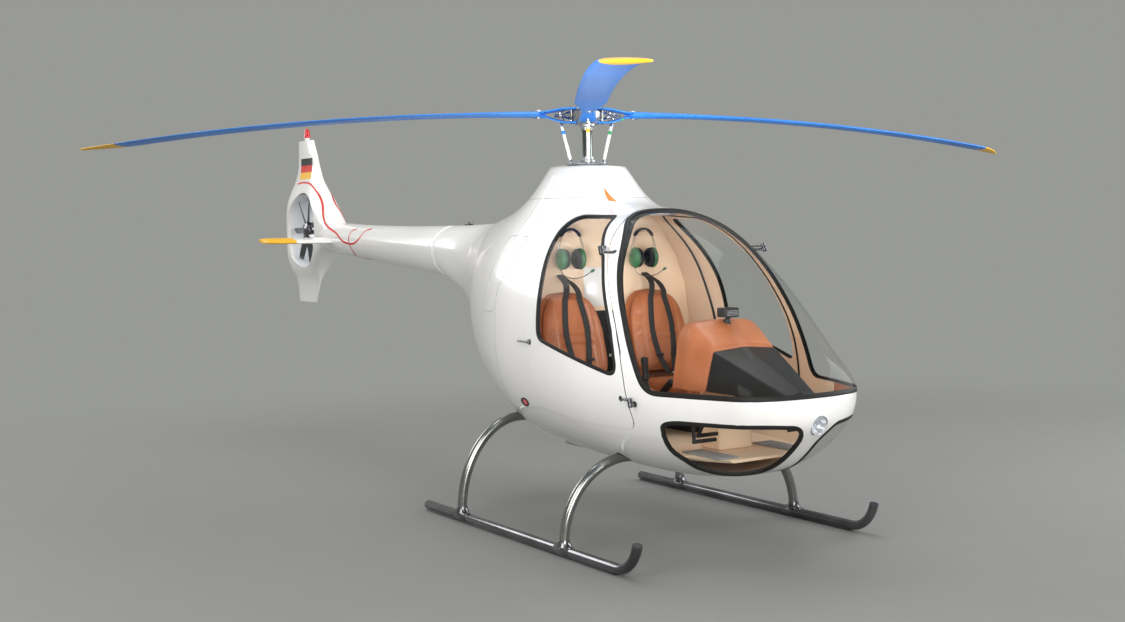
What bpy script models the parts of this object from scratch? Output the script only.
"""Light two-seat helicopter with a shrouded tail fan, parked on its skids.

Metres. The nose points to -Y, port is +X and the rotor mast stands on the Z axis.
Heights in this file are above the ground. The last step lowers everything, so that the
origin lies on the flat belly plate under the mast.
"""
import math

import bmesh
import bpy
from mathutils import Matrix, Vector
from mathutils.bvhtree import BVHTree

# Driving dimensions of the whole machine
ROTOR_RADIUS = 3.60
ROTOR_AZIMUTH = math.radians(27.8)  # from the nose towards starboard, where the first blade is parked
HUB_HEIGHT = 2.28
BLADE_RISE, BLADE_DROOP = 0.0466, 0.0215  # a blade leaves the hub rising, then bends down
BLADE_CHORD = 0.17
BELLY_PLATE_HEIGHT = 0.385
FAN_Y, FAN_HEIGHT = 4.425, 1.644
DUCT_RADIUS = 0.30
HALF_TRACK = 0.724
SKIN = 0.020  # thickness of the fuselage wall and of the doors in it
GAP = 0.0003  # between pieces that touch
DOOR_GAP = 0.0075  # between a door and its frame, along the skin

# Fuselage stations from the nose tip back. The last column is how many slices run to the next row.
# y, half width, widest height, top, bottom, power above, power below, slices
FUSELAGE = [
    (-2.100, 0.000, 0.740, 0.740, 0.740, 2.2, 2.2, 2),
    (-2.000, 0.300, 0.820, 0.940, 0.610, 2.2, 2.2, 2),
    (-1.760, 0.420, 0.830, 1.160, 0.450, 2.2, 2.2, 2),
    (-1.350, 0.535, 0.880, 1.480, 0.375, 2.3, 2.2, 2),
    (-0.900, 0.605, 0.940, 1.710, 0.370, 2.4, 2.3, 3),
    (-0.400, 0.615, 1.000, 1.740, 0.390, 2.4, 2.3, 4),
    (0.100, 0.580, 1.060, 1.770, 0.445, 2.4, 2.3, 4),
    (0.600, 0.450, 1.170, 1.740, 0.600, 2.3, 2.2, 2),
    (1.000, 0.280, 1.310, 1.680, 0.870, 2.2, 2.1, 2),
    (1.350, 0.190, 1.440, 1.665, 1.140, 2.0, 2.0, 2),
    (1.750, 0.165, 1.485, 1.660, 1.310, 2.0, 2.0, 0),
]
# The pylon is a flat-topped rise in the roof that flares out into it.
PYLON_HALF_WIDTH, PYLON_HALF_LENGTH = 0.17, 0.30
PYLON_RISE, PYLON_FLARE, PYLON_POWER = 0.23, 0.14, 1.3
CROWN = math.radians(50)  # from here up to the crown the sections have closer points
CROWN_POINTS, BELLY_POINTS = 10, 18

# Where the fuselage shell is divided into panels
FIREWALL_Y = 0.02
PYLON_SPLIT_HEIGHT = 1.80

# Outlines seen from the side: y, height, corner radius
DOOR_OUTLINE = [
    (-1.300, 0.645, 0.070),
    (-1.225, 1.100, 0.900),
    (-0.830, 1.700, 0.120),
    (-0.290, 1.728, 0.090),
    (-0.345, 1.300, 0.700),
    (-0.470, 0.820, 0.300),
    (-0.780, 0.650, 0.220),
]
DOOR_WINDOW = [
    (-1.215, 0.905, 0.050),
    (-1.160, 1.130, 0.600),
    (-0.960, 1.470, 0.500),
    (-0.740, 1.695, 0.070),
    (-0.365, 1.702, 0.080),
    (-0.480, 1.360, 0.700),
    (-0.515, 1.060, 0.070),
]
WINDSCREEN = [
    (-1.400, 0.840, 0.130),
    (-1.230, 1.180, 0.900),
    (-0.985, 1.590, 0.500),
    (-0.780, 1.730, 0.080),
    (-0.770, 1.900, 0.000),
    (-2.400, 1.900, 0.000),
    (-2.400, 0.840, 0.000),
]
# Chin windows seen from the front: distance from the centre line, height, corner radius
CHIN_WINDOW = [
    (0.484, 0.707, 0.030),
    (0.260, 0.709, 1.000),
    (0.105, 0.699, 0.080),
    (0.057, 0.630, 0.120),
    (0.057, 0.520, 0.400),
    (0.080, 0.410, 0.045),
    (0.170, 0.412, 0.300),
    (0.290, 0.456, 0.300),
    (0.405, 0.543, 0.300),
    (0.458, 0.626, 0.300),
]
GLASS = 0.004

# Door hinges: a line through two points just outside the front edge, port side
HINGE_LOW, HINGE_HIGH = Vector((0.570, -1.349, 0.790)), Vector((0.507, -0.996, 1.520))
DOOR_SPLAY = 0.75  # how far the door's edge slants outwards for each unit of depth

# Tail boom: y, half width, half height, height of the middle
BOOM = [
    (1.750, 0.165, 0.175, 1.485),
    (2.500, 0.148, 0.150, 1.512),
    (3.200, 0.132, 0.130, 1.545),
    (3.700, 0.122, 0.122, 1.570),
    (4.050, 0.110, 0.115, 1.590),
]
# Fins and duct ring in one streamlined body: height, leading edge, trailing edge, half thickness, power
FIN = [
    (1.050, 4.400, 4.790, 0.018, 2.0),
    (1.150, 4.350, 4.795, 0.026, 2.0),
    (1.240, 4.310, 4.805, 0.045, 2.3),
    (1.330, 4.245, 4.825, 0.085, 3.2),
    (1.420, 4.115, 4.840, 0.108, 4.0),
    (1.530, 3.935, 4.850, 0.115, 4.0),
    (1.644, 3.860, 4.855, 0.115, 4.0),
    (1.760, 3.965, 4.850, 0.112, 4.0),
    (1.860, 4.070, 4.835, 0.100, 4.0),
    (1.950, 4.140, 4.815, 0.076, 3.2),
    (2.040, 4.190, 4.780, 0.045, 2.3),
    (2.140, 4.240, 4.725, 0.028, 2.0),
    (2.260, 4.300, 4.705, 0.024, 2.0),
    (2.370, 4.365, 4.700, 0.020, 2.0),
]
CHORD_STEPS = [0.0, 0.04, 0.15, 0.35, 0.65, 1.0]  # where an aerofoil has points
BEACON_Y, BEACON_DOME = 4.508, (2.392, 2.468)
DUCT_LIP = 0.035
DUCT_SIDES = 32
DUCT_FLAT = DUCT_RADIUS * math.cos(math.pi / DUCT_SIDES)  # from the axis to the middle of a side

CARBON_WHITE = ("white_paint", (0.83, 0.82, 0.80), 0.25, 0.0)
BLADE_BLUE = ("blue_paint", (0.05, 0.19, 0.55), 0.3, 0.0)
WINDOW = ("window_acrylic", (0.55, 0.57, 0.56), 0.05, 0.0)
DARK_METAL = ("dark_steel", (0.18, 0.18, 0.19), 0.3, 1.0)
BRIGHT_METAL = ("bright_steel", (0.60, 0.60, 0.62), 0.25, 1.0)
LINER = ("beige_liner", (0.62, 0.50, 0.38), 0.7, 0.0)
LEATHER = ("brown_leather", (0.45, 0.17, 0.08), 0.45, 0.0)
BLACK_PLASTIC = ("black_plastic", (0.02, 0.02, 0.02), 0.5, 0.0)
RED_LENS = ("red_lens", (0.60, 0.02, 0.03), 0.1, 0.0)
CAST_ALUMINIUM = ("cast_aluminium", (0.50, 0.50, 0.50), 0.5, 1.0)
WEBBING = ("black_webbing", (0.03, 0.03, 0.03), 0.8, 0.0)
GREEN_PLASTIC = ("green_plastic", (0.08, 0.30, 0.12), 0.4, 0.0)
LENS = ("clear_lens", (0.80, 0.82, 0.85), 0.05, 0.0)


def clear_scene():
    for item in list(bpy.data.objects):
        bpy.data.objects.remove(item)


clear_scene()
PARTS = bpy.data.collections.new("helicopter")
CUTTERS = bpy.data.collections.new("cutters")
for group in (PARTS, CUTTERS):
    bpy.context.scene.collection.children.link(group)


def material(finish):
    name, colour, roughness, metallic = finish
    found = bpy.data.materials.get(name)
    if found:
        return found
    made = bpy.data.materials.new(name)
    made.use_nodes = True
    shader = made.node_tree.nodes["Principled BSDF"]
    shader.inputs["Base Color"].default_value = (*colour, 1.0)
    shader.inputs["Roughness"].default_value = roughness
    shader.inputs["Metallic"].default_value = metallic
    return made


def put(name, mesh, finish=None):
    """A part with a finish, or a cutter without one."""
    item = bpy.data.objects.new(name, mesh)
    if finish:
        PARTS.objects.link(item)
        mesh.materials.clear()
        mesh.materials.append(material(finish))
    else:
        CUTTERS.objects.link(item)
        item.hide_render = True
        item.display_type = "WIRE"
    mesh.shade_smooth()
    mesh.set_sharp_from_angle(angle=math.radians(35))
    return item


def from_bmesh(name, bm, finish=None):
    bmesh.ops.recalc_face_normals(bm, faces=bm.faces)
    mesh = bpy.data.meshes.new(name)
    bm.to_mesh(mesh)
    bm.free()
    return put(name, mesh, finish)


def loft(name, loops, finish=None, closed=True):
    """Joins loops of points one after another with triangles. A loop of one point closes to a tip."""
    bm = bmesh.new()
    rings = [[bm.verts.new(point) for point in loop] for loop in loops]
    for near, far in zip(rings, rings[1:]):
        for i in range(max(len(near), len(far))):
            j = i + 1
            corners = (near[i % len(near)], near[j % len(near)], far[j % len(far)], far[i % len(far)])
            bm.faces.new(list(dict.fromkeys(corners)))
    if closed:
        for ring in (rings[0], rings[-1]):
            if len(ring) > 2:
                bm.faces.new(ring)
    bmesh.ops.triangulate(bm, faces=bm.faces)
    return from_bmesh(name, bm, finish)


def boolean(item, cutter, operation):
    step = item.modifiers.new(operation.lower(), "BOOLEAN")
    step.operation = operation
    step.object = cutter
    return item


def cut(item, *cutters):
    for cutter in cutters:
        boolean(item, cutter, "DIFFERENCE")
    return item


def keep(item, *cutters):
    for cutter in cutters:
        boolean(item, cutter, "INTERSECT")
    return item


def join(item, *others):
    for other in others:
        boolean(item, other, "UNION")
    return item


def box(name, low, high, finish=None, bevel=0.0):
    bm = bmesh.new()
    low, high = Vector(low), Vector(high)
    size = high - low
    place = Matrix.Translation((low + high) / 2) @ Matrix.Diagonal((*size, 1.0))
    bmesh.ops.create_cube(bm, size=1.0, matrix=place)
    item = from_bmesh(name, bm, finish)
    if bevel:
        soften(item, bevel)
    return item


def soften(item, width, segments=2):
    step = item.modifiers.new("soft_edges", "BEVEL")
    step.width = width
    step.segments = segments
    step.limit_method = "ANGLE"
    return item


def rod(name, start, end, radius, finish=None, sides=16, end_radius=None):
    start, end = Vector(start), Vector(end)
    turn = (end - start).to_track_quat("Z", "Y").to_matrix().to_4x4()
    place = Matrix.Translation((start + end) / 2) @ turn
    bm = bmesh.new()
    bmesh.ops.create_cone(
        bm,
        cap_ends=True,
        segments=sides,
        radius1=radius,
        radius2=radius if end_radius is None else end_radius,
        depth=(end - start).length,
        matrix=place,
    )
    return from_bmesh(name, bm, finish)


def tube(name, points, radius, finish=None, resolution=2):
    """A tube along a line of points, made a mesh so that it can be cut and joined."""
    curve = bpy.data.curves.new(name, "CURVE")
    curve.dimensions = "3D"
    spline = curve.splines.new("POLY")
    spline.points.add(len(points) - 1)
    for knot, point in zip(spline.points, points):
        knot.co = (*point, 1.0)
    curve.bevel_depth = radius
    curve.bevel_resolution = resolution
    curve.use_fill_caps = True
    guide = bpy.data.objects.new(name + "_line", curve)
    CUTTERS.objects.link(guide)
    bpy.context.view_layer.update()
    mesh = bpy.data.meshes.new_from_object(guide.evaluated_get(bpy.context.evaluated_depsgraph_get()))
    bpy.data.objects.remove(guide)
    bm = bmesh.new()
    bm.from_mesh(mesh)
    bmesh.ops.remove_doubles(bm, verts=bm.verts, dist=0.00005)
    return from_bmesh(name, bm, finish)


def turned(name, profile, place, finish=None, steps=24):
    """A closed profile of (radius, height) turned about Z, then placed by a matrix."""
    bm = bmesh.new()
    knots = [bm.verts.new((radius, 0.0, height)) for radius, height in profile]
    edges = [bm.edges.new(pair) for pair in zip(knots, knots[1:] + knots[:1])]
    bmesh.ops.spin(
        bm,
        geom=knots + edges,
        cent=(0, 0, 0),
        axis=(0, 0, 1),
        angle=math.tau,
        steps=steps,
        use_merge=True,
    )
    bmesh.ops.remove_doubles(bm, verts=bm.verts, dist=0.00005)
    bmesh.ops.transform(bm, matrix=place, verts=bm.verts)
    return from_bmesh(name, bm, finish)


def mirrored(item, name):
    """The same piece on the other side of the machine."""
    bpy.context.view_layer.update()
    mesh = bpy.data.meshes.new_from_object(item.evaluated_get(bpy.context.evaluated_depsgraph_get()))
    bm = bmesh.new()
    bm.from_mesh(mesh)
    bmesh.ops.transform(bm, matrix=Matrix.Diagonal((-1.0, 1.0, 1.0, 1.0)), verts=bm.verts)
    finish = item.data.materials[0] if item.data.materials else None
    other = from_bmesh(name, bm)
    if finish:
        CUTTERS.objects.unlink(other)
        PARTS.objects.link(other)
        other.hide_render = False
        other.display_type = "TEXTURED"
        other.data.materials.append(finish)
    return other


def through(rows, u):
    """A smooth curve through the table's rows. Ahead of the nose tip it runs on mirrored."""
    last = len(rows) - 1
    i = min(int(u), last - 1)
    f = u - i

    def row(k):
        if k < 0:
            y, width, middle, top, bottom, *powers = rows[-k][:7]
            tip = rows[0][2]
            return (y, -width, middle, 2 * tip - top, 2 * tip - bottom, *powers)
        if k > last:
            return tuple(2 * a - b for a, b in zip(rows[last][:7], rows[last - 1][:7]))
        return rows[k][:7]

    before, start, end, after = row(i - 1), row(i), row(i + 1), row(i + 2)
    values = []
    for a, b, c, d in zip(before, start, end, after):
        slope_in, slope_out = (c - a) / 2, (d - b) / 2
        values.append(
            (2 * f**3 - 3 * f**2 + 1) * b
            + (f**3 - 2 * f**2 + f) * slope_in
            + (3 * f**2 - 2 * f**3) * c
            + (f**3 - f**2) * slope_out
        )
    return values


def pylon_rise(x, y):
    """Height of the pylon above the plain roof."""
    around = math.hypot(x / PYLON_HALF_WIDTH, y / PYLON_HALF_LENGTH)
    if around <= 1.0:
        return PYLON_RISE
    outside = (1 - 1 / around) * math.hypot(x, y)
    return PYLON_RISE * math.exp(-((outside / PYLON_FLARE) ** PYLON_POWER))


def fuselage_loop(u):
    y, width, middle, top, bottom, above, below = through(FUSELAGE, u)
    if u == 0:
        return [(0.0, y, middle)]
    crown = [CROWN + (math.pi - 2 * CROWN) * i / CROWN_POINTS for i in range(CROWN_POINTS)]
    rest = math.tau - (math.pi - 2 * CROWN)
    belly = [math.pi - CROWN + rest * i / BELLY_POINTS for i in range(BELLY_POINTS)]
    loop = []
    for angle in crown + belly:
        c, s = math.cos(angle), math.sin(angle)
        power = 2 / (above if s >= 0 else below)
        x = width * math.copysign(abs(c) ** power, c)
        reach = top - middle if s >= 0 else middle - bottom
        z = middle + reach * math.copysign(abs(s) ** power, s)
        loop.append((x, y, z + pylon_rise(x, y) * max(s, 0.0)))
    return loop


def fuselage_loops():
    steps = [row + k / rows[7] for row, rows in enumerate(FUSELAGE) for k in range(rows[7])]
    return [fuselage_loop(u) for u in steps + [len(FUSELAGE) - 1]]


LOOPS = fuselage_loops()
fuselage_solid = loft("fuselage_solid", LOOPS)
SURFACE = BVHTree.FromObject(fuselage_solid, bpy.context.evaluated_depsgraph_get())


def shell(name, finish=None, thickness=SKIN, outside=0.0):
    """The fuselage wall, from the outer surface inwards."""
    item = loft(name, LOOPS, finish, closed=False)
    step = item.modifiers.new("wall", "SOLIDIFY")
    step.thickness = thickness + outside
    step.offset = (outside - thickness) / (thickness + outside)
    step.use_even_offset = True
    return item


fat_shell = shell("fat_shell", thickness=SKIN + GAP, outside=0.006)
skin_clearance = shell("skin_clearance", thickness=0.004, outside=GAP)


def inside(item):
    """Trims a piece to the hollow inside the fuselage wall."""
    return cut(keep(item, fuselage_solid), fat_shell)


def outside(item):
    """Trims a piece so that it sits on the outer surface of the fuselage."""
    return cut(item, fuselage_solid, skin_clearance)


def rounded(corners, grow=0.0, spacing=0.085):
    """Points round an outline of (a, b, radius) corners, pushed outwards by grow."""
    count = len(corners)
    spots = [Vector(corner[:2]) for corner in corners]
    area = sum(spots[i - 1].cross(spots[i]) for i in range(count))
    points = []
    for i, (a, b, radius) in enumerate(corners):
        here = spots[i]
        into = (here - spots[i - 1]).normalized()
        out = (spots[(i + 1) % count] - here).normalized()
        turn = math.acos(max(-1.0, min(1.0, into.dot(out))))
        back = radius * math.tan(turn / 2)
        reach = min((here - spots[i - 1]).length, (spots[(i + 1) % count] - here).length) / 2
        back = min(back, reach * 0.98)
        steps = max(1, round(turn / 0.35)) if back > 0 else 1
        start, end = here - into * back, here + out * back
        for k in range(steps + 1):
            f = k / steps
            points.append((1 - f) ** 2 * start + 2 * f * (1 - f) * here + f**2 * end)
            if back == 0:
                break
    dense = []
    for start, end in zip(points, points[1:] + points[:1]):
        pieces = max(1, math.ceil((end - start).length / spacing))
        dense += [start.lerp(end, k / pieces) for k in range(pieces) if (end - start).length > 1e-6]
    side = 1 if area > 0 else -1
    pushed = []
    for i, point in enumerate(dense):
        along = (dense[(i + 1) % len(dense)] - dense[i - 1]).normalized()
        pushed.append(point + Vector((along.y, -along.x)) * side * grow)
    return pushed


def plug(name, outline, view, grow=0.0, splay=0.0, depth=0.075):
    """A tapered plug through the port wall. Its rim is an outline drawn on the skin, moved out by grow."""
    rim, normals = [], []
    for a, b in rounded(outline):
        if view == "side":
            start, ray = Vector((2.0, a, b)), Vector((-1, 0, 0))
        else:
            start, ray = Vector((a, -3.0, b)), Vector((0, 1, 0))
        spot, normal, _, _ = SURFACE.ray_cast(start, ray)
        rim.append(spot)
        normals.append(normal)
    count = len(rim)
    centre = sum(rim, Vector()) / count
    facing = sum(normals, Vector()).normalized()
    outer, inner, far = [], [], []
    for i in range(count):
        normal = sum((normals[(i + k) % count] for k in range(-3, 4)), Vector()).normalized()
        along = (rim[(i + 1) % count] - rim[i - 1]).normalized()
        away = along.cross(normal)
        if away.dot(rim[i] - centre) < 0:
            away.negate()
        line = (normal + away * splay).normalized()
        outer.append(rim[i] + away.normalized() * grow + line * depth)
        inner.append(rim[i] + away.normalized() * grow - line * depth)
    return loft(name, [[centre - facing * depth * 1.2], inner, outer, [centre + facing * 0.5]])


def prism(name, outline, grow=0.0, half_width=1.2):
    """An outline seen from the side, run right across the machine."""
    points = rounded(outline, grow, spacing=0.3)
    return loft(name, [[(x, a, b) for a, b in points] for x in (-half_width, half_width)])


# Cutters through the fuselage wall
windscreen_hole = prism("windscreen_hole", WINDSCREEN)
windscreen_trim = prism("windscreen_trim", WINDSCREEN, grow=-GAP)
door_hole = plug("door_hole", DOOR_OUTLINE, "side", grow=DOOR_GAP, splay=DOOR_SPLAY)
door_plug = plug("door_plug", DOOR_OUTLINE, "side", splay=DOOR_SPLAY)
door_window_hole = plug("door_window_hole", DOOR_WINDOW, "side")
door_window_trim = plug("door_window_trim", DOOR_WINDOW, "side", grow=-GAP)
chin_hole = plug("chin_hole", CHIN_WINDOW, "front")
chin_trim = plug("chin_trim", CHIN_WINDOW, "front", grow=-GAP)
door_holes = (door_hole, mirrored(door_hole, "door_hole_starboard"))
chin_holes = (chin_hole, mirrored(chin_hole, "chin_hole_starboard"))

above_split = box("above_split", (-1, -3, PYLON_SPLIT_HEIGHT), (1, 3, 3))
cabin_space = box("cabin_space", (-1, -3, 0), (1, FIREWALL_Y - GAP, PYLON_SPLIT_HEIGHT - GAP))
rear_space = box("rear_space", (-1, FIREWALL_Y, 0), (1, 3, PYLON_SPLIT_HEIGHT - GAP))
mast_hole = rod("mast_hole", (0, 0, 1.6), (0, 0, 2.3), 0.125)

# Landing gear
SKID_RADIUS = 0.025
SHOE, SHOE_HALF_WIDTH = 0.006, 0.016
SKID_AXIS_HEIGHT = SKID_RADIUS + SHOE
SKID_REAR_Y, SKID_FRONT_Y, SKID_CURL, SKID_CURL_ANGLE = 0.66, -1.46, 0.19, math.radians(75)
CROSS_TUBE_RADIUS = 0.026
# Cross tubes: name, y at the skid, height where the tube crosses under the cabin floor
CROSS_TUBES = [("cross_tube_front", -0.955, 0.462), ("cross_tube_rear", 0.200, 0.560)]


def cross_tube_line(y, height):
    """Half a cross tube bends down like a quarter of an ellipse, then the other half follows."""
    foot = SKID_AXIS_HEIGHT + SKID_RADIUS + GAP
    bend = HALF_TRACK - 0.36
    quarter = [math.radians(90) * k / 7 for k in range(8)]
    leg = [(HALF_TRACK - bend * (1 - math.cos(a)), foot + (height - foot) * math.sin(a)) for a in quarter]
    right = [(x, y, z) for x, z in leg]
    return right + [(-x, y, z) for x, z in reversed(leg)]


def landing_gear():
    for name, y, height in CROSS_TUBES:
        tube(name, cross_tube_line(y, height), CROSS_TUBE_RADIUS, BRIGHT_METAL)
    arc = [SKID_CURL_ANGLE * k / 6 for k in range(1, 7)]
    line = [(SKID_REAR_Y, SKID_AXIS_HEIGHT), (SKID_FRONT_Y, SKID_AXIS_HEIGHT)]
    for a in arc:
        line.append((SKID_FRONT_Y - SKID_CURL * math.sin(a), SKID_AXIS_HEIGHT + SKID_CURL * (1 - math.cos(a))))
    for name, side in (("skid_port", 1), ("skid_starboard", -1)):
        x = side * HALF_TRACK
        skid = tube(name, [(x, y, z) for y, z in line], SKID_RADIUS, DARK_METAL)
        low = (x - SHOE_HALF_WIDTH, SKID_FRONT_Y, 0)
        high = (x + SHOE_HALF_WIDTH, SKID_REAR_Y - 0.02, SHOE + 0.01)
        shoe = box(name + "_shoe", low, high)
        join(skid, shoe)


def cross_tube_holes():
    return [
        tube(name + "_hole", cross_tube_line(y, height), CROSS_TUBE_RADIUS + GAP)
        for name, y, height in CROSS_TUBES
    ]


# Round pieces let into the wall: the landing light in the nose and the exhaust under the engine bay
LIGHT_RADIUS, LIGHT_HEIGHT = 0.045, 0.700
EXHAUST_START, EXHAUST_END, EXHAUST_RADIUS = (0.16, 0.44, 0.64), (0.20, 0.66, 0.47), 0.032


def landing_light(radius, finish=None):
    name = "landing_light" if finish else "landing_light_hole"
    return rod(name, (0, -2.12, LIGHT_HEIGHT), (0, -2.02, LIGHT_HEIGHT), radius, finish, sides=24)


def exhaust_pipe(radius, finish=None):
    name = "exhaust_pipe" if finish else "exhaust_hole"
    return rod(name, EXHAUST_START, EXHAUST_END, radius, finish)


def fuselage():
    tube_holes = cross_tube_holes()
    cabin = keep(shell("cabin_shell", CARBON_WHITE), cabin_space)
    cut(cabin, windscreen_hole, *door_holes, *chin_holes, tube_holes[0], landing_light(LIGHT_RADIUS + GAP))
    brackets = hinge_arms("shell_hinge", -1)
    join(cabin, *brackets, *[mirrored(item, item.name + "_starboard") for item in brackets])
    keep(landing_light(LIGHT_RADIUS, LENS), fuselage_solid)
    rear = keep(shell("rear_cowling", CARBON_WHITE), rear_space)
    cut(rear, tube_holes[1], exhaust_pipe(EXHAUST_RADIUS + GAP))
    exhaust_pipe(EXHAUST_RADIUS, BRIGHT_METAL)
    outside(box("belly_plate", (-0.12, -0.11, BELLY_PLATE_HEIGHT), (0.12, 0.11, 0.47), CAST_ALUMINIUM))
    pylon = keep(shell("pylon_cowling", CARBON_WHITE), above_split)
    cut(pylon, mast_hole)
    keep(shell_glass("windscreen"), windscreen_trim)
    chin = keep(shell_glass("chin_window_port"), chin_trim)
    mirrored(chin, "chin_window_starboard")


def shell_glass(name):
    """Glazing 4 mm thick, set back from the outer surface."""
    item = loft(name, LOOPS, WINDOW, closed=False)
    step = item.modifiers.new("wall", "SOLIDIFY")
    step.thickness = GLASS
    step.offset = -1.0
    step.use_even_offset = True
    return item


# Each hinge has a knuckle on the shell and one above it on the door. Their arms reach down to the skin.
KNUCKLE_RADIUS, KNUCKLE_LENGTH, KNUCKLE_GAP, ARM_RADIUS = 0.013, 0.022, 0.0006, 0.007
# Hinges: the place on the axis, where the shell's arm meets the skin and where the door's does, as y
HINGES = [(HINGE_LOW, -1.330, -1.238), (HINGE_HIGH, -0.985, -0.920)]
# The handle stands on the door's rear edge and reaches back over the seam
HANDLE_Y, HANDLE_END_Y, HANDLE_HEIGHT, HANDLE_STAND = -0.432, -0.315, 1.037, 0.015


def on_skin(y, height):
    """The place on the port skin seen square from the side, and the way it faces."""
    spot, normal, _, _ = SURFACE.ray_cast(Vector((2.0, y, height)), Vector((-1, 0, 0)))
    return spot, normal


def hinge_arms(name, side):
    """Both hinges' arms and knuckles of one leaf: the shell's (-1) or the door's (1)."""
    along = (HINGE_HIGH - HINGE_LOW).normalized()
    pieces = []
    for k, (middle, *roots) in enumerate(HINGES):
        root, normal = on_skin(roots[side > 0], middle.z)
        start = middle + along * side * KNUCKLE_GAP / 2
        end = start + along * side * KNUCKLE_LENGTH
        pieces.append(rod(f"{name}_knuckle_{k}", start, end, KNUCKLE_RADIUS, sides=14))
        root += along * side * KNUCKLE_LENGTH / 2
        pieces.append(rod(f"{name}_arm_{k}", (start + end) / 2, root - normal * 0.012, ARM_RADIUS, sides=10))
    return pieces


def doors():
    door = keep(shell("door_port", CARBON_WHITE), door_plug)
    cut(door, door_window_hole)
    glass = keep(shell_glass("door_window_port"), door_window_trim)
    start, facing = on_skin(HANDLE_Y, HANDLE_HEIGHT)
    end, _ = on_skin(HANDLE_END_Y, HANDLE_HEIGHT)
    bar = [spot + facing * HANDLE_STAND for spot in (start, end)]
    post = (start - facing * 0.006, bar[0])
    join(door, rod("handle_bar", *bar, 0.006, sides=10), rod("handle_post", *post, 0.010, sides=12))
    join(door, *hinge_arms("door_hinge", 1))
    mirrored(door, "door_starboard")
    mirrored(glass, "door_window_starboard")


def ellipse_loop(y, half_width, half_height, middle, count=20):
    angles = [math.tau * k / count for k in range(count)]
    return [(half_width * math.cos(a), y, middle + half_height * math.sin(a)) for a in angles]


def fin_loop(height, front, rear, half_thickness, power, count=20):
    """A level cut through the fin: a blunt or a slim streamlined shape."""
    middle, half_chord = (front + rear) / 2, (rear - front) / 2
    loop = []
    for k in range(count):
        angle = math.tau * k / count
        c, s = math.cos(angle), math.sin(angle)
        y = middle + half_chord * math.copysign(abs(c) ** (2 / power), c)
        x = half_thickness * math.copysign(abs(s) ** (2 / power), s)
        loop.append((x, y, height))
    return loop


def duct_cutter():
    """The round opening for the fan, with flared lips."""
    lip = 0.115
    flare = [math.radians(90) * k / 4 for k in range(5)]
    side = [(DUCT_RADIUS + DUCT_LIP * (1 - math.sin(a)), -lip + DUCT_LIP * (1 - math.cos(a))) for a in flare]
    profile = [(0.0, -0.3), (0.335, -0.3)] + side
    profile += [(radius, -height) for radius, height in reversed(side)] + [(0.335, 0.3), (0.0, 0.3)]
    place = Matrix.Translation((0, FAN_Y, FAN_HEIGHT)) @ Matrix.Rotation(math.radians(90), 4, "Y")
    return turned("duct_cutter", profile, place, steps=DUCT_SIDES)


def tail_body(name, finish=None, grow=0.0):
    """The boom with its fins and the fan ring, or a cutter a little larger."""
    rows = [(y + (GAP if y < 2 else 0), width + grow, height + grow, z) for y, width, height, z in BOOM]
    boom = loft(name, [ellipse_loop(*row) for row in rows], finish)
    rows = [(z, front - grow, rear + grow, half + grow, power) for z, front, rear, half, power in FIN]
    return join(boom, loft(name + "_fins", [fin_loop(*row) for row in rows]))


def tail():
    cut(tail_body("tail_boom", CARBON_WHITE), duct_cutter())
    base = (0, BEACON_Y, FIN[-1][0] + GAP)
    beacon = rod("beacon", base, (0, BEACON_Y, BEACON_DOME[0]), 0.018, RED_LENS)
    join(beacon, rod("beacon_dome", *[(0, BEACON_Y, z) for z in BEACON_DOME], 0.027, end_radius=0.017))


# Stabilizer stations on the port side: x, leading edge, trailing edge
STABILIZER = [(0.06, 3.690, 3.910), (0.45, 3.775, 3.970), (0.54, 3.800, 3.985), (0.575, 3.865, 3.998)]
STABILIZER_HEIGHT, STABILIZER_SLOPE, STABILIZER_THICKNESS = 1.546, 0.17, 0.026


def stabilizer_loop(x, front, rear):
    chord = rear - front
    upper, lower = [], []
    for f in CHORD_STEPS:
        half = STABILIZER_THICKNESS * 1.35 * math.sqrt(f) * (1 - f) ** 0.8 + 0.0015
        middle = STABILIZER_HEIGHT + STABILIZER_SLOPE * f * chord
        upper.append((x, front + f * chord, middle + half))
        lower.append((x, front + f * chord, middle - half))
    return upper + lower[::-1]


def stabilizers():
    wing = loft("stabilizer_port", [stabilizer_loop(*row) for row in STABILIZER], CARBON_WHITE)
    cut(wing, tail_body("tail_clearance", grow=GAP))
    mirrored(wing, "stabilizer_starboard")


# Interior
PLATE = 0.015
FLOOR_FRONT_Y, FLOOR_HEIGHT = -1.700, 0.500
FLOOR = FLOOR_HEIGHT + PLATE + GAP  # where what stands on the floor begins
BULKHEAD_Y = -0.140
PYLON_DECK_HEIGHT = 1.700
ENGINE_DECK_HEIGHT = 0.690
SIDES = (("port", 1), ("starboard", -1))


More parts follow.
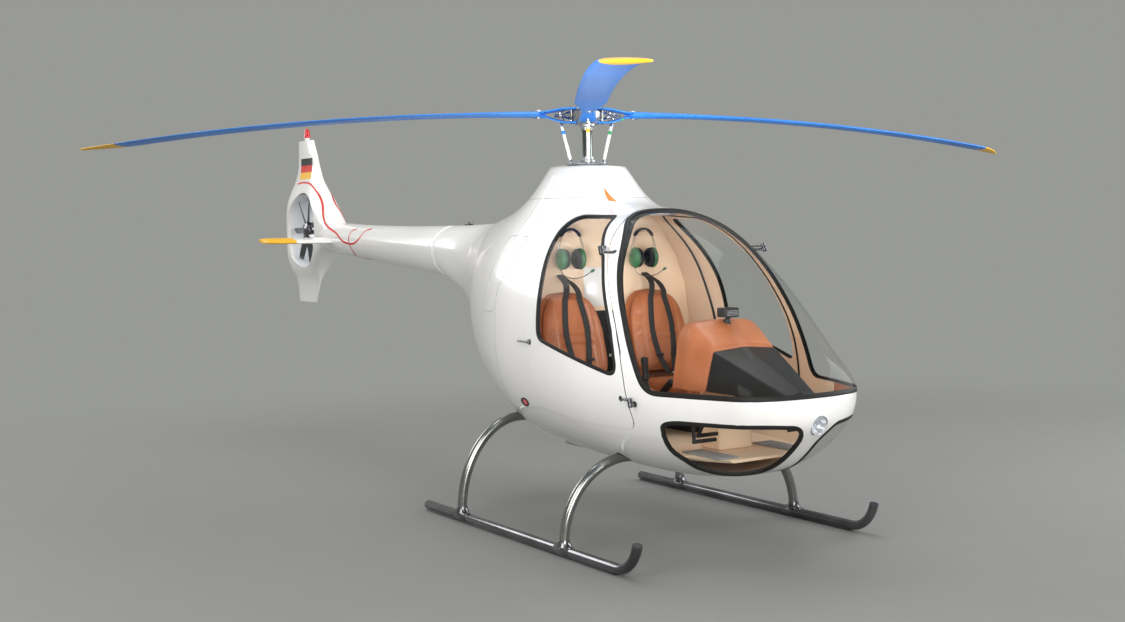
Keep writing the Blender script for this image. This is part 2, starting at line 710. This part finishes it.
def cabin_structure():
    wall = BULKHEAD_Y - GAP
    inside(box("cabin_floor", (-1, FLOOR_FRONT_Y, FLOOR_HEIGHT), (1, wall, FLOOR_HEIGHT + PLATE), LINER))
    high = (1, BULKHEAD_Y + PLATE, PYLON_DECK_HEIGHT - GAP)
    bulkhead = inside(box("rear_bulkhead", (-1, BULKHEAD_Y, 0), high, LINER))
    for name, side in SIDES:
        x, y, z = side * HEADSET_X, HEADSET_Y, HEADSET_TOP - 2 * BAND_RADIUS - HOOK_RADIUS - GAP
        ends = (x, BULKHEAD_Y + 0.007, z), (x, y - 0.020, z)
        join(bulkhead, rod(f"hook_{name}", *ends, HOOK_RADIUS, sides=10))
    deck = (PYLON_DECK_HEIGHT, PYLON_DECK_HEIGHT + PLATE)
    inside(box("pylon_deck", (-1, -0.62, deck[0]), (1, 0.70, deck[1]), CAST_ALUMINIUM))
    deck = (ENGINE_DECK_HEIGHT, ENGINE_DECK_HEIGHT + PLATE)
    inside(box("engine_deck", (-1, 0.05, deck[0]), (1, 0.66, deck[1]), CAST_ALUMINIUM))
    box("engine_block", (-0.24, 0.12, deck[1] + GAP), (0.24, 0.58, 1.100), DARK_METAL)
    box("main_gearbox", (-0.12, -0.115, 1.270), (0.12, 0.150, PYLON_DECK_HEIGHT - GAP), CAST_ALUMINIUM)


# Seats: a leaning back on a level pan that stands on a box
SEAT_X, SEAT_HALF_WIDTH = 0.275, 0.205
SEAT_BASE = (0.150, 0.345)  # inner and outer side of the box under a seat
SEAT_FRONT_Y, SEAT_PAN_HEIGHT, SEAT_TOP = -0.900, 0.672, 1.285
SEAT_BACK_Y, SEAT_LEAN = -0.325, 0.262  # rear face at the pan, and how far it leans back per metre of height
SEAT_WALL, SEAT_PAD = 0.018, 0.085
CUSHION_TOP = 0.800
# The back's outline: height, half width
SEAT_OUTLINE = [
    (SEAT_PAN_HEIGHT, 0.205),
    (1.060, 0.200),
    (1.170, 0.178),
    (1.235, 0.142),
    (1.270, 0.098),
    (SEAT_TOP, 0.050),
]


def seat_back_y(height):
    return SEAT_BACK_Y + SEAT_LEAN * (height - SEAT_PAN_HEIGHT)


def leaning_slab(name, x, bottom, rear, thickness, inset, finish=None):
    """An upright slab with the seat's rounded outline, rear metres ahead of the seat's rear face."""
    rows = [(bottom, SEAT_HALF_WIDTH)] + [row for row in SEAT_OUTLINE if row[0] > bottom + 0.01]
    loops = []
    for height, half_width in rows:
        y, w = seat_back_y(height) - rear, half_width - inset
        loops.append([(x + a * w, y - b * thickness, height) for a, b in ((-1, 0), (1, 0), (1, 1), (-1, 1))])
    return loft(name, loops, finish)


def seats():
    for name, side in SIDES:
        x = side * SEAT_X
        shell_back = leaning_slab(f"seat_shell_{name}", x, SEAT_PAN_HEIGHT, 0, SEAT_WALL, 0, BLACK_PLASTIC)
        pan_top = SEAT_PAN_HEIGHT + SEAT_WALL
        low = (x - SEAT_HALF_WIDTH, SEAT_FRONT_Y, SEAT_PAN_HEIGHT)
        pan = box(f"seat_pan_{name}", low, (x + SEAT_HALF_WIDTH, SEAT_BACK_Y - 0.002, pan_top))
        inner, outer = side * SEAT_BASE[0], side * SEAT_BASE[1]
        low = (min(inner, outer), -0.80, FLOOR)
        base = box(f"seat_base_{name}", low, (max(inner, outer), -0.40, SEAT_PAN_HEIGHT + 0.010))
        join(shell_back, pan, base)
        rear = SEAT_WALL + GAP * 2
        front = seat_back_y(pan_top) - rear
        low = (x - SEAT_HALF_WIDTH + 0.006, SEAT_FRONT_Y + 0.006, pan_top + GAP)
        high = (x + SEAT_HALF_WIDTH - 0.006, front, CUSHION_TOP)
        box(f"seat_cushion_{name}", low, high, LEATHER, bevel=0.02)
        leaning_slab(f"backrest_{name}", x, CUSHION_TOP + GAP, rear, SEAT_PAD, 0.004, LEATHER)
        harness(name, x)


# Harness: two shoulder straps from the bulkhead over the seat to a buckle, with a lap strap
STRAP_WIDTH, STRAP_THICKNESS, LAP_STRAP_REACH = 0.045, 0.004, 0.190
BUCKLE_Y, BUCKLE_RADIUS, BUCKLE_THICKNESS = -0.432, 0.030, 0.018
# Strap stations: y, height, distance from the seat's centre line
STRAP = [
    (BULKHEAD_Y - GAP, 1.372, 0.023),
    (-0.205, 1.340, 0.030),
    (-0.264, 1.306, 0.045),
    (-0.284, 1.255, 0.060),
    (-0.330, 1.080, 0.072),
    (-0.398, 0.835, 0.035),
    (BUCKLE_Y + 0.010, 0.810, 0.024),
]


def harness(name, x):
    ends = (x, BUCKLE_Y, CUSHION_TOP + GAP), (x, BUCKLE_Y, CUSHION_TOP + BUCKLE_THICKNESS)
    item = rod(f"harness_{name}", *ends, BUCKLE_RADIUS, WEBBING)
    half = STRAP_THICKNESS / 2
    for side in (-1, 1):
        loops = []
        for i, (y, z, spread) in enumerate(STRAP):
            before, after = STRAP[max(i - 1, 0)], STRAP[min(i + 1, len(STRAP) - 1)]
            along = Vector((after[0] - before[0], after[1] - before[1])).normalized()
            dy, dz = (0, half) if i == 0 else (-along.y * half, along.x * half)
            near, far = x + side * spread - STRAP_WIDTH / 2, x + side * spread + STRAP_WIDTH / 2
            under = [(near, y - dy, z - dz), (far, y - dy, z - dz)]
            loops.append(under + [(far, y + dy, z + dz), (near, y + dy, z + dz)])
        join(item, loft(f"strap_{name}_{side}", loops))
    low = (x - LAP_STRAP_REACH, BUCKLE_Y - STRAP_WIDTH / 2, CUSHION_TOP + 3 * GAP)
    high = (x + LAP_STRAP_REACH, BUCKLE_Y + STRAP_WIDTH / 2, low[2] + STRAP_THICKNESS)
    join(item, box(f"lap_strap_{name}", low, high))


# Headsets hang by their bands from hooks on the bulkhead
HEADSET_X, HEADSET_Y, HEADSET_TOP = 0.236, -0.206, 1.634
BAND_RADIUS, HOOK_RADIUS, BAND_HALF_SPAN = 0.007, 0.006, 0.062
CUP_HEIGHT, CUP_RADIUS, CUP_THICKNESS = 1.462, 0.056, 0.046


def headsets():
    for name, side in SIDES:
        x = side * HEADSET_X
        crown = HEADSET_TOP - BAND_RADIUS - BAND_HALF_SPAN
        line = []
        for a in (math.pi * k / 10 for k in range(11)):
            line.append((x + BAND_HALF_SPAN * math.cos(a), HEADSET_Y, crown + BAND_HALF_SPAN * math.sin(a)))
        ends = [(x + s * BAND_HALF_SPAN, HEADSET_Y, CUP_HEIGHT) for s in (1, -1)]
        band = tube(f"headset_{name}", [ends[0]] + line + [ends[1]], BAND_RADIUS, GREEN_PLASTIC)
        for s in (-1, 1):
            reach = (BAND_HALF_SPAN - CUP_THICKNESS / 2, BAND_HALF_SPAN + CUP_THICKNESS / 2)
            ends = [(x + s * r, HEADSET_Y, CUP_HEIGHT) for r in reach]
            join(band, rod(f"cup_{name}_{s}", *ends, CUP_RADIUS))


# Instrument console. Stations: y, top, half width at the shoulder, half width at the bottom, bottom
GLARESHIELD = [
    (-1.230, 1.158, 0.200, 0.250, 0.830),
    (-1.330, 1.165, 0.205, 0.252, 0.830),
    (-1.500, 1.052, 0.200, 0.250, 0.830),
]
NOSE_CONSOLE = [
    (-1.500 - GAP, 1.040, 0.190, 0.240, 0.830),
    (-1.960, 0.845, 0.085, 0.095, 0.800),
]
PANEL_THICKNESS, TRAY_BOTTOM = 0.012, 0.812


def arch_loop(y, top, shoulder, foot, bottom):
    side = [(foot, bottom), (shoulder + 0.012, top - 0.090)]
    side += [(shoulder, top - 0.035), (shoulder * 0.7, top - 0.005)]
    return [(x, y, z) for x, z in side] + [(0, y, top)] + [(-x, y, z) for x, z in reversed(side)]


def nose_loop(y, top, shoulder, foot, bottom):
    side = [(foot, bottom), (shoulder, top - 0.020)]
    return [(x, y, z) for x, z in side] + [(0, y, top)] + [(-x, y, z) for x, z in reversed(side)]


def console():
    loft("glareshield", [arch_loop(*row) for row in GLARESHIELD], LEATHER)
    y, top, shoulder, foot, bottom = GLARESHIELD[0]
    inset = (top - 0.012, shoulder - 0.012, foot - 0.014, bottom + 0.010)
    rows = [(y + GAP, *inset), (y + GAP + PANEL_THICKNESS, *inset)]
    loft("instrument_panel", [arch_loop(*row) for row in rows], BLACK_PLASTIC)
    nose = loft("nose_console", [nose_loop(*row) for row in NOSE_CONSOLE], BLACK_PLASTIC)
    join(nose, box("console_tray", (-0.09, -1.60, TRAY_BOTTOM), (0.09, -1.235, bottom - GAP)))
    join(nose, box("console_pedestal", (-0.10, -1.42, FLOOR), (0.10, -1.25, bottom - 0.005)))
    post = box("compass", (-0.012, -1.375, 1.120), (0.012, -1.345, 1.180), BLACK_PLASTIC)
    join(post, box("compass_case", (-0.045, -1.400, 1.176), (0.045, -1.330, 1.226)))
    rows = [(y, top + GAP, shoulder + GAP, foot, bottom) for y, top, shoulder, foot, bottom in GLARESHIELD]
    cut(post, loft("hood_clearance", [arch_loop(*row) for row in rows]))


# Hand controls: a boot on the floor, a rod out of it and a grip on the rod
STICK_Y, STICK_GRIP = -1.100, ((-1.020, 0.850), (-1.010, 0.970))
LEVER_Y, LEVER_GRIP = -0.420, ((-0.710, 0.716), (-0.840, 0.812))
GRIP_RADIUS = 0.020


def controls():
    for name, side in SIDES:
        x = side * SEAT_X
        foot = (x, STICK_Y, FLOOR)
        boot = foot, (x, STICK_Y, FLOOR + 0.035)
        stick = rod(f"cyclic_stick_{name}", *boot, 0.045, BLACK_PLASTIC, end_radius=0.022)
        grip = [(x, *spot) for spot in STICK_GRIP]
        join(stick, rod(f"stick_rod_{name}", (x, STICK_Y, FLOOR + 0.02), grip[0], 0.012, sides=12))
        join(stick, rod(f"stick_grip_{name}", *grip, GRIP_RADIUS, sides=12))
    pedals()
    lever = rod("collective_lever", (0, LEVER_Y, FLOOR), (0, LEVER_Y, FLOOR + 0.03), 0.035, BLACK_PLASTIC)
    join(lever, rod("collective_rod", (0, LEVER_Y, FLOOR + 0.015), (0, -0.80, 0.78), 0.013, sides=12))
    join(lever, rod("collective_grip", *[(0, *spot) for spot in LEVER_GRIP], GRIP_RADIUS, sides=12))


# Pedals: a cross shaft hung from the console's tray, with an arm and a bar for each foot
PEDAL_SHAFT_Y, PEDAL_SHAFT_HEIGHT, PEDAL_BRACKET_X = -1.530, 0.745, 0.060
# distance of the arm from the centre line, the bar's inner end, its place along Y and its height
PEDALS = ((0.348, 0.220, -1.560, 0.602), (0.250, 0.134, -1.450, 0.610))


def pedals():
    y, z = PEDAL_SHAFT_Y, PEDAL_SHAFT_HEIGHT
    reach = PEDALS[0][0]
    shaft = rod("pedals", (-reach, y, z), (reach, y, z), 0.012, BLACK_PLASTIC, sides=12)
    for name, side in SIDES:
        x = side * PEDAL_BRACKET_X
        low, high = (x - 0.014, y - 0.020, z - 0.005), (x + 0.014, y + 0.020, TRAY_BOTTOM - GAP)
        join(shaft, box(f"pedal_bracket_{name}", low, high))
        for k, (arm, inner, bar_y, bar_z) in enumerate(PEDALS):
            ends = (side * arm, y, z), (side * arm, bar_y, bar_z)
            join(shaft, rod(f"pedal_arm_{name}_{k}", *ends, 0.010, sides=10))
            ends = (side * inner, bar_y, bar_z), (side * (arm + 0.008), bar_y, bar_z)
            join(shaft, rod(f"pedal_bar_{name}_{k}", *ends, 0.014, sides=12))


# Main rotor
MAST_RADIUS = 0.035
HUB_ARM_END = 0.285
BLADE_ROOT = HUB_ARM_END + GAP
SWEEP_START = 3.25
SWASHPLATE_TOP = 2.012
LINK_LIFT = 0.0034  # the slanted ends of the pitch links clear what they stand on
# Blade stations: distance from the mast, thickness
BLADE = [
    (BLADE_ROOT, 0.034),
    (0.45, 0.030),
    (0.80, 0.023),
    (1.60, 0.022),
    (2.60, 0.022),
    (3.25, 0.021),
    (3.40, 0.019),
    (3.50, 0.016),
    (3.57, 0.011),
    (3.598, 0.006),
]


def blade_loop(distance, thickness):
    """One cut through a blade at the first blade's place, drawn with the span along X."""
    front, rear = -BLADE_CHORD / 2, BLADE_CHORD / 2
    if distance < 0.60:
        narrow = (0.60 - distance) / (0.60 - BLADE_ROOT)
        front, rear = front * (1 - 0.4 * narrow), rear * (1 - 0.4 * narrow)
    if distance > SWEEP_START:
        swept = (distance - SWEEP_START) / (ROTOR_RADIUS - SWEEP_START)
        front += (rear - front) * 0.94 * swept**2.0
    height = HUB_HEIGHT + BLADE_RISE * distance - BLADE_DROOP * distance**2
    chord = rear - front
    upper, lower = [], []
    for f in CHORD_STEPS:
        half = thickness * 1.35 * math.sqrt(f) * (1 - f) ** 0.8 + 0.0012
        upper.append((distance, front + f * chord, height + half * 1.1))
        lower.append((distance, front + f * chord, height - half * 0.9))
    return upper + lower[::-1]


def place_points(points, index):
    azimuth = ROTOR_AZIMUTH + index * math.radians(120)
    span = Vector((-math.sin(azimuth), -math.cos(azimuth), 0))
    trailing = Vector((math.cos(azimuth), -math.sin(azimuth), 0))
    return [span * a + trailing * b + Vector((0, 0, c)) for a, b, c in points]


def main_rotor():
    rod("rotor_mast", (0, 0, 1.7154), (0, 0, HUB_HEIGHT - 0.0503), MAST_RADIUS, DARK_METAL, sides=20)
    hub = rod("rotor_hub", (0, 0, HUB_HEIGHT - 0.05), (0, 0, HUB_HEIGHT + 0.045), 0.075, BLADE_BLUE, sides=24)
    cap = rod("hub_cap", (0, 0, HUB_HEIGHT + 0.03), (0, 0, HUB_HEIGHT + 0.075), 0.045)
    join(hub, cap)
    for index in range(3):
        low, high = (0.04, -0.050, HUB_HEIGHT - 0.028), (HUB_ARM_END, 0.050, HUB_HEIGHT + 0.026)
        corners = [(x, y, z) for x in (low[0], high[0]) for y in (low[1], high[1]) for z in (low[2], high[2])]
        spots = place_points(corners, index)
        arm = loft(
            f"hub_arm_{index}",
            [[spots[0], spots[1], spots[3], spots[2]], [spots[4], spots[5], spots[7], spots[6]]],
        )
        join(hub, arm)
        loft(
            f"rotor_blade_{index + 1}",
            [place_points(blade_loop(*row), index) for row in BLADE],
            BLADE_BLUE,
        )
        ends = [(0.105, 0.0, SWASHPLATE_TOP + LINK_LIFT), (0.170, 0.0, HUB_HEIGHT - 0.028 - LINK_LIFT)]
        rod(f"pitch_link_{index + 1}", *place_points(ends, index), 0.010, CARBON_WHITE, sides=10)
    bore = MAST_RADIUS + GAP
    profile = [(bore, 1.985), (0.118, 1.985), (0.118, SWASHPLATE_TOP), (bore, SWASHPLATE_TOP)]
    turned("swashplate", profile, Matrix.Identity(4), CAST_ALUMINIUM)


# Tail fan
FAN_BLADES = 7
FAN_TIP = DUCT_FLAT - 0.0065
FAN_HUB_RADIUS = 0.065
FAN_X, FAN_HUB_HALF_DEPTH = -0.045, 0.032
# Fan blade stations: distance from the axis, chord, pitch in degrees
FAN_BLADE = [(FAN_HUB_RADIUS - 0.02, 0.050, 42), (0.18, 0.052, 33), (FAN_TIP, 0.050, 25)]
# A cut through a fan blade: along the chord, across it in 7 mm
FAN_SECTION = [(-0.5, -0.15), (-0.2, 0.5), (0.5, 0.15), (0.2, -0.5)]
GEARBOX_RADIUS, ARM_X = 0.058, 0.060


def tail_fan():
    at = Vector((0, FAN_Y, FAN_HEIGHT))
    ends = [at + Vector((FAN_X + side * FAN_HUB_HALF_DEPTH, 0, 0)) for side in (-1, 1)]
    hub = rod("fan_rotor", *ends, FAN_HUB_RADIUS, DARK_METAL, sides=28)
    for k in range(FAN_BLADES):
        turn = Matrix.Rotation(math.tau * k / FAN_BLADES + 0.2, 4, "X")
        loops = []
        for distance, chord, pitch in FAN_BLADE:
            c, s = math.cos(math.radians(pitch)), math.sin(math.radians(pitch))
            loop = []
            for along, across in FAN_SECTION:
                a, b = along * chord, across * 0.007
                spot = Vector((a * s + b * c, a * c - b * s, distance))
                loop.append(turn @ spot + at + Vector((FAN_X, 0, 0)))
            loops.append(loop)
        join(hub, loft(f"fan_blade_{k}", loops))
    ends = [at + Vector((x, 0, 0)) for x in (FAN_X + FAN_HUB_HALF_DEPTH + GAP, 0.100)]
    gearbox = rod("fan_gearbox", *ends, GEARBOX_RADIUS, CAST_ALUMINIUM, sides=24)
    for k, angle in enumerate(math.radians(a) for a in (180, 300, 60)):
        out = Vector((0, math.cos(angle), math.sin(angle)))
        start = at + Vector((ARM_X, 0, 0))
        end = start + out * (DUCT_FLAT - GAP - 0.0005)
        join(gearbox, rod(f"stator_arm_{k}", start, end, 0.013, sides=10))


def move_origin(name, spot):
    """Puts a moving piece's origin on its joint's axis, with its shape left where it is."""
    item = bpy.data.objects[name]
    mesh = bpy.data.meshes.new_from_object(item.evaluated_get(bpy.context.evaluated_depsgraph_get()))
    item.modifiers.clear()
    mesh.transform(Matrix.Translation(-spot))
    item.data = mesh
    item.location = spot


def place_origins():
    """Hangs the moving pieces on their axes, then lowers all so that the origin is on the belly plate."""
    bpy.context.view_layer.update()
    move_origin("fan_rotor", Vector((0, FAN_Y, FAN_HEIGHT)))
    for name, side in SIDES:
        for piece in ("door", "door_window"):
            move_origin(f"{piece}_{name}", Vector((side * HINGE_LOW.x, HINGE_LOW.y, HINGE_LOW.z)))
    for item in list(PARTS.objects) + list(CUTTERS.objects):
        item.location.z -= BELLY_PLATE_HEIGHT


fuselage()
doors()
tail()
stabilizers()
cabin_structure()
seats()
headsets()
console()
controls()
landing_gear()
main_rotor()
tail_fan()
place_origins()
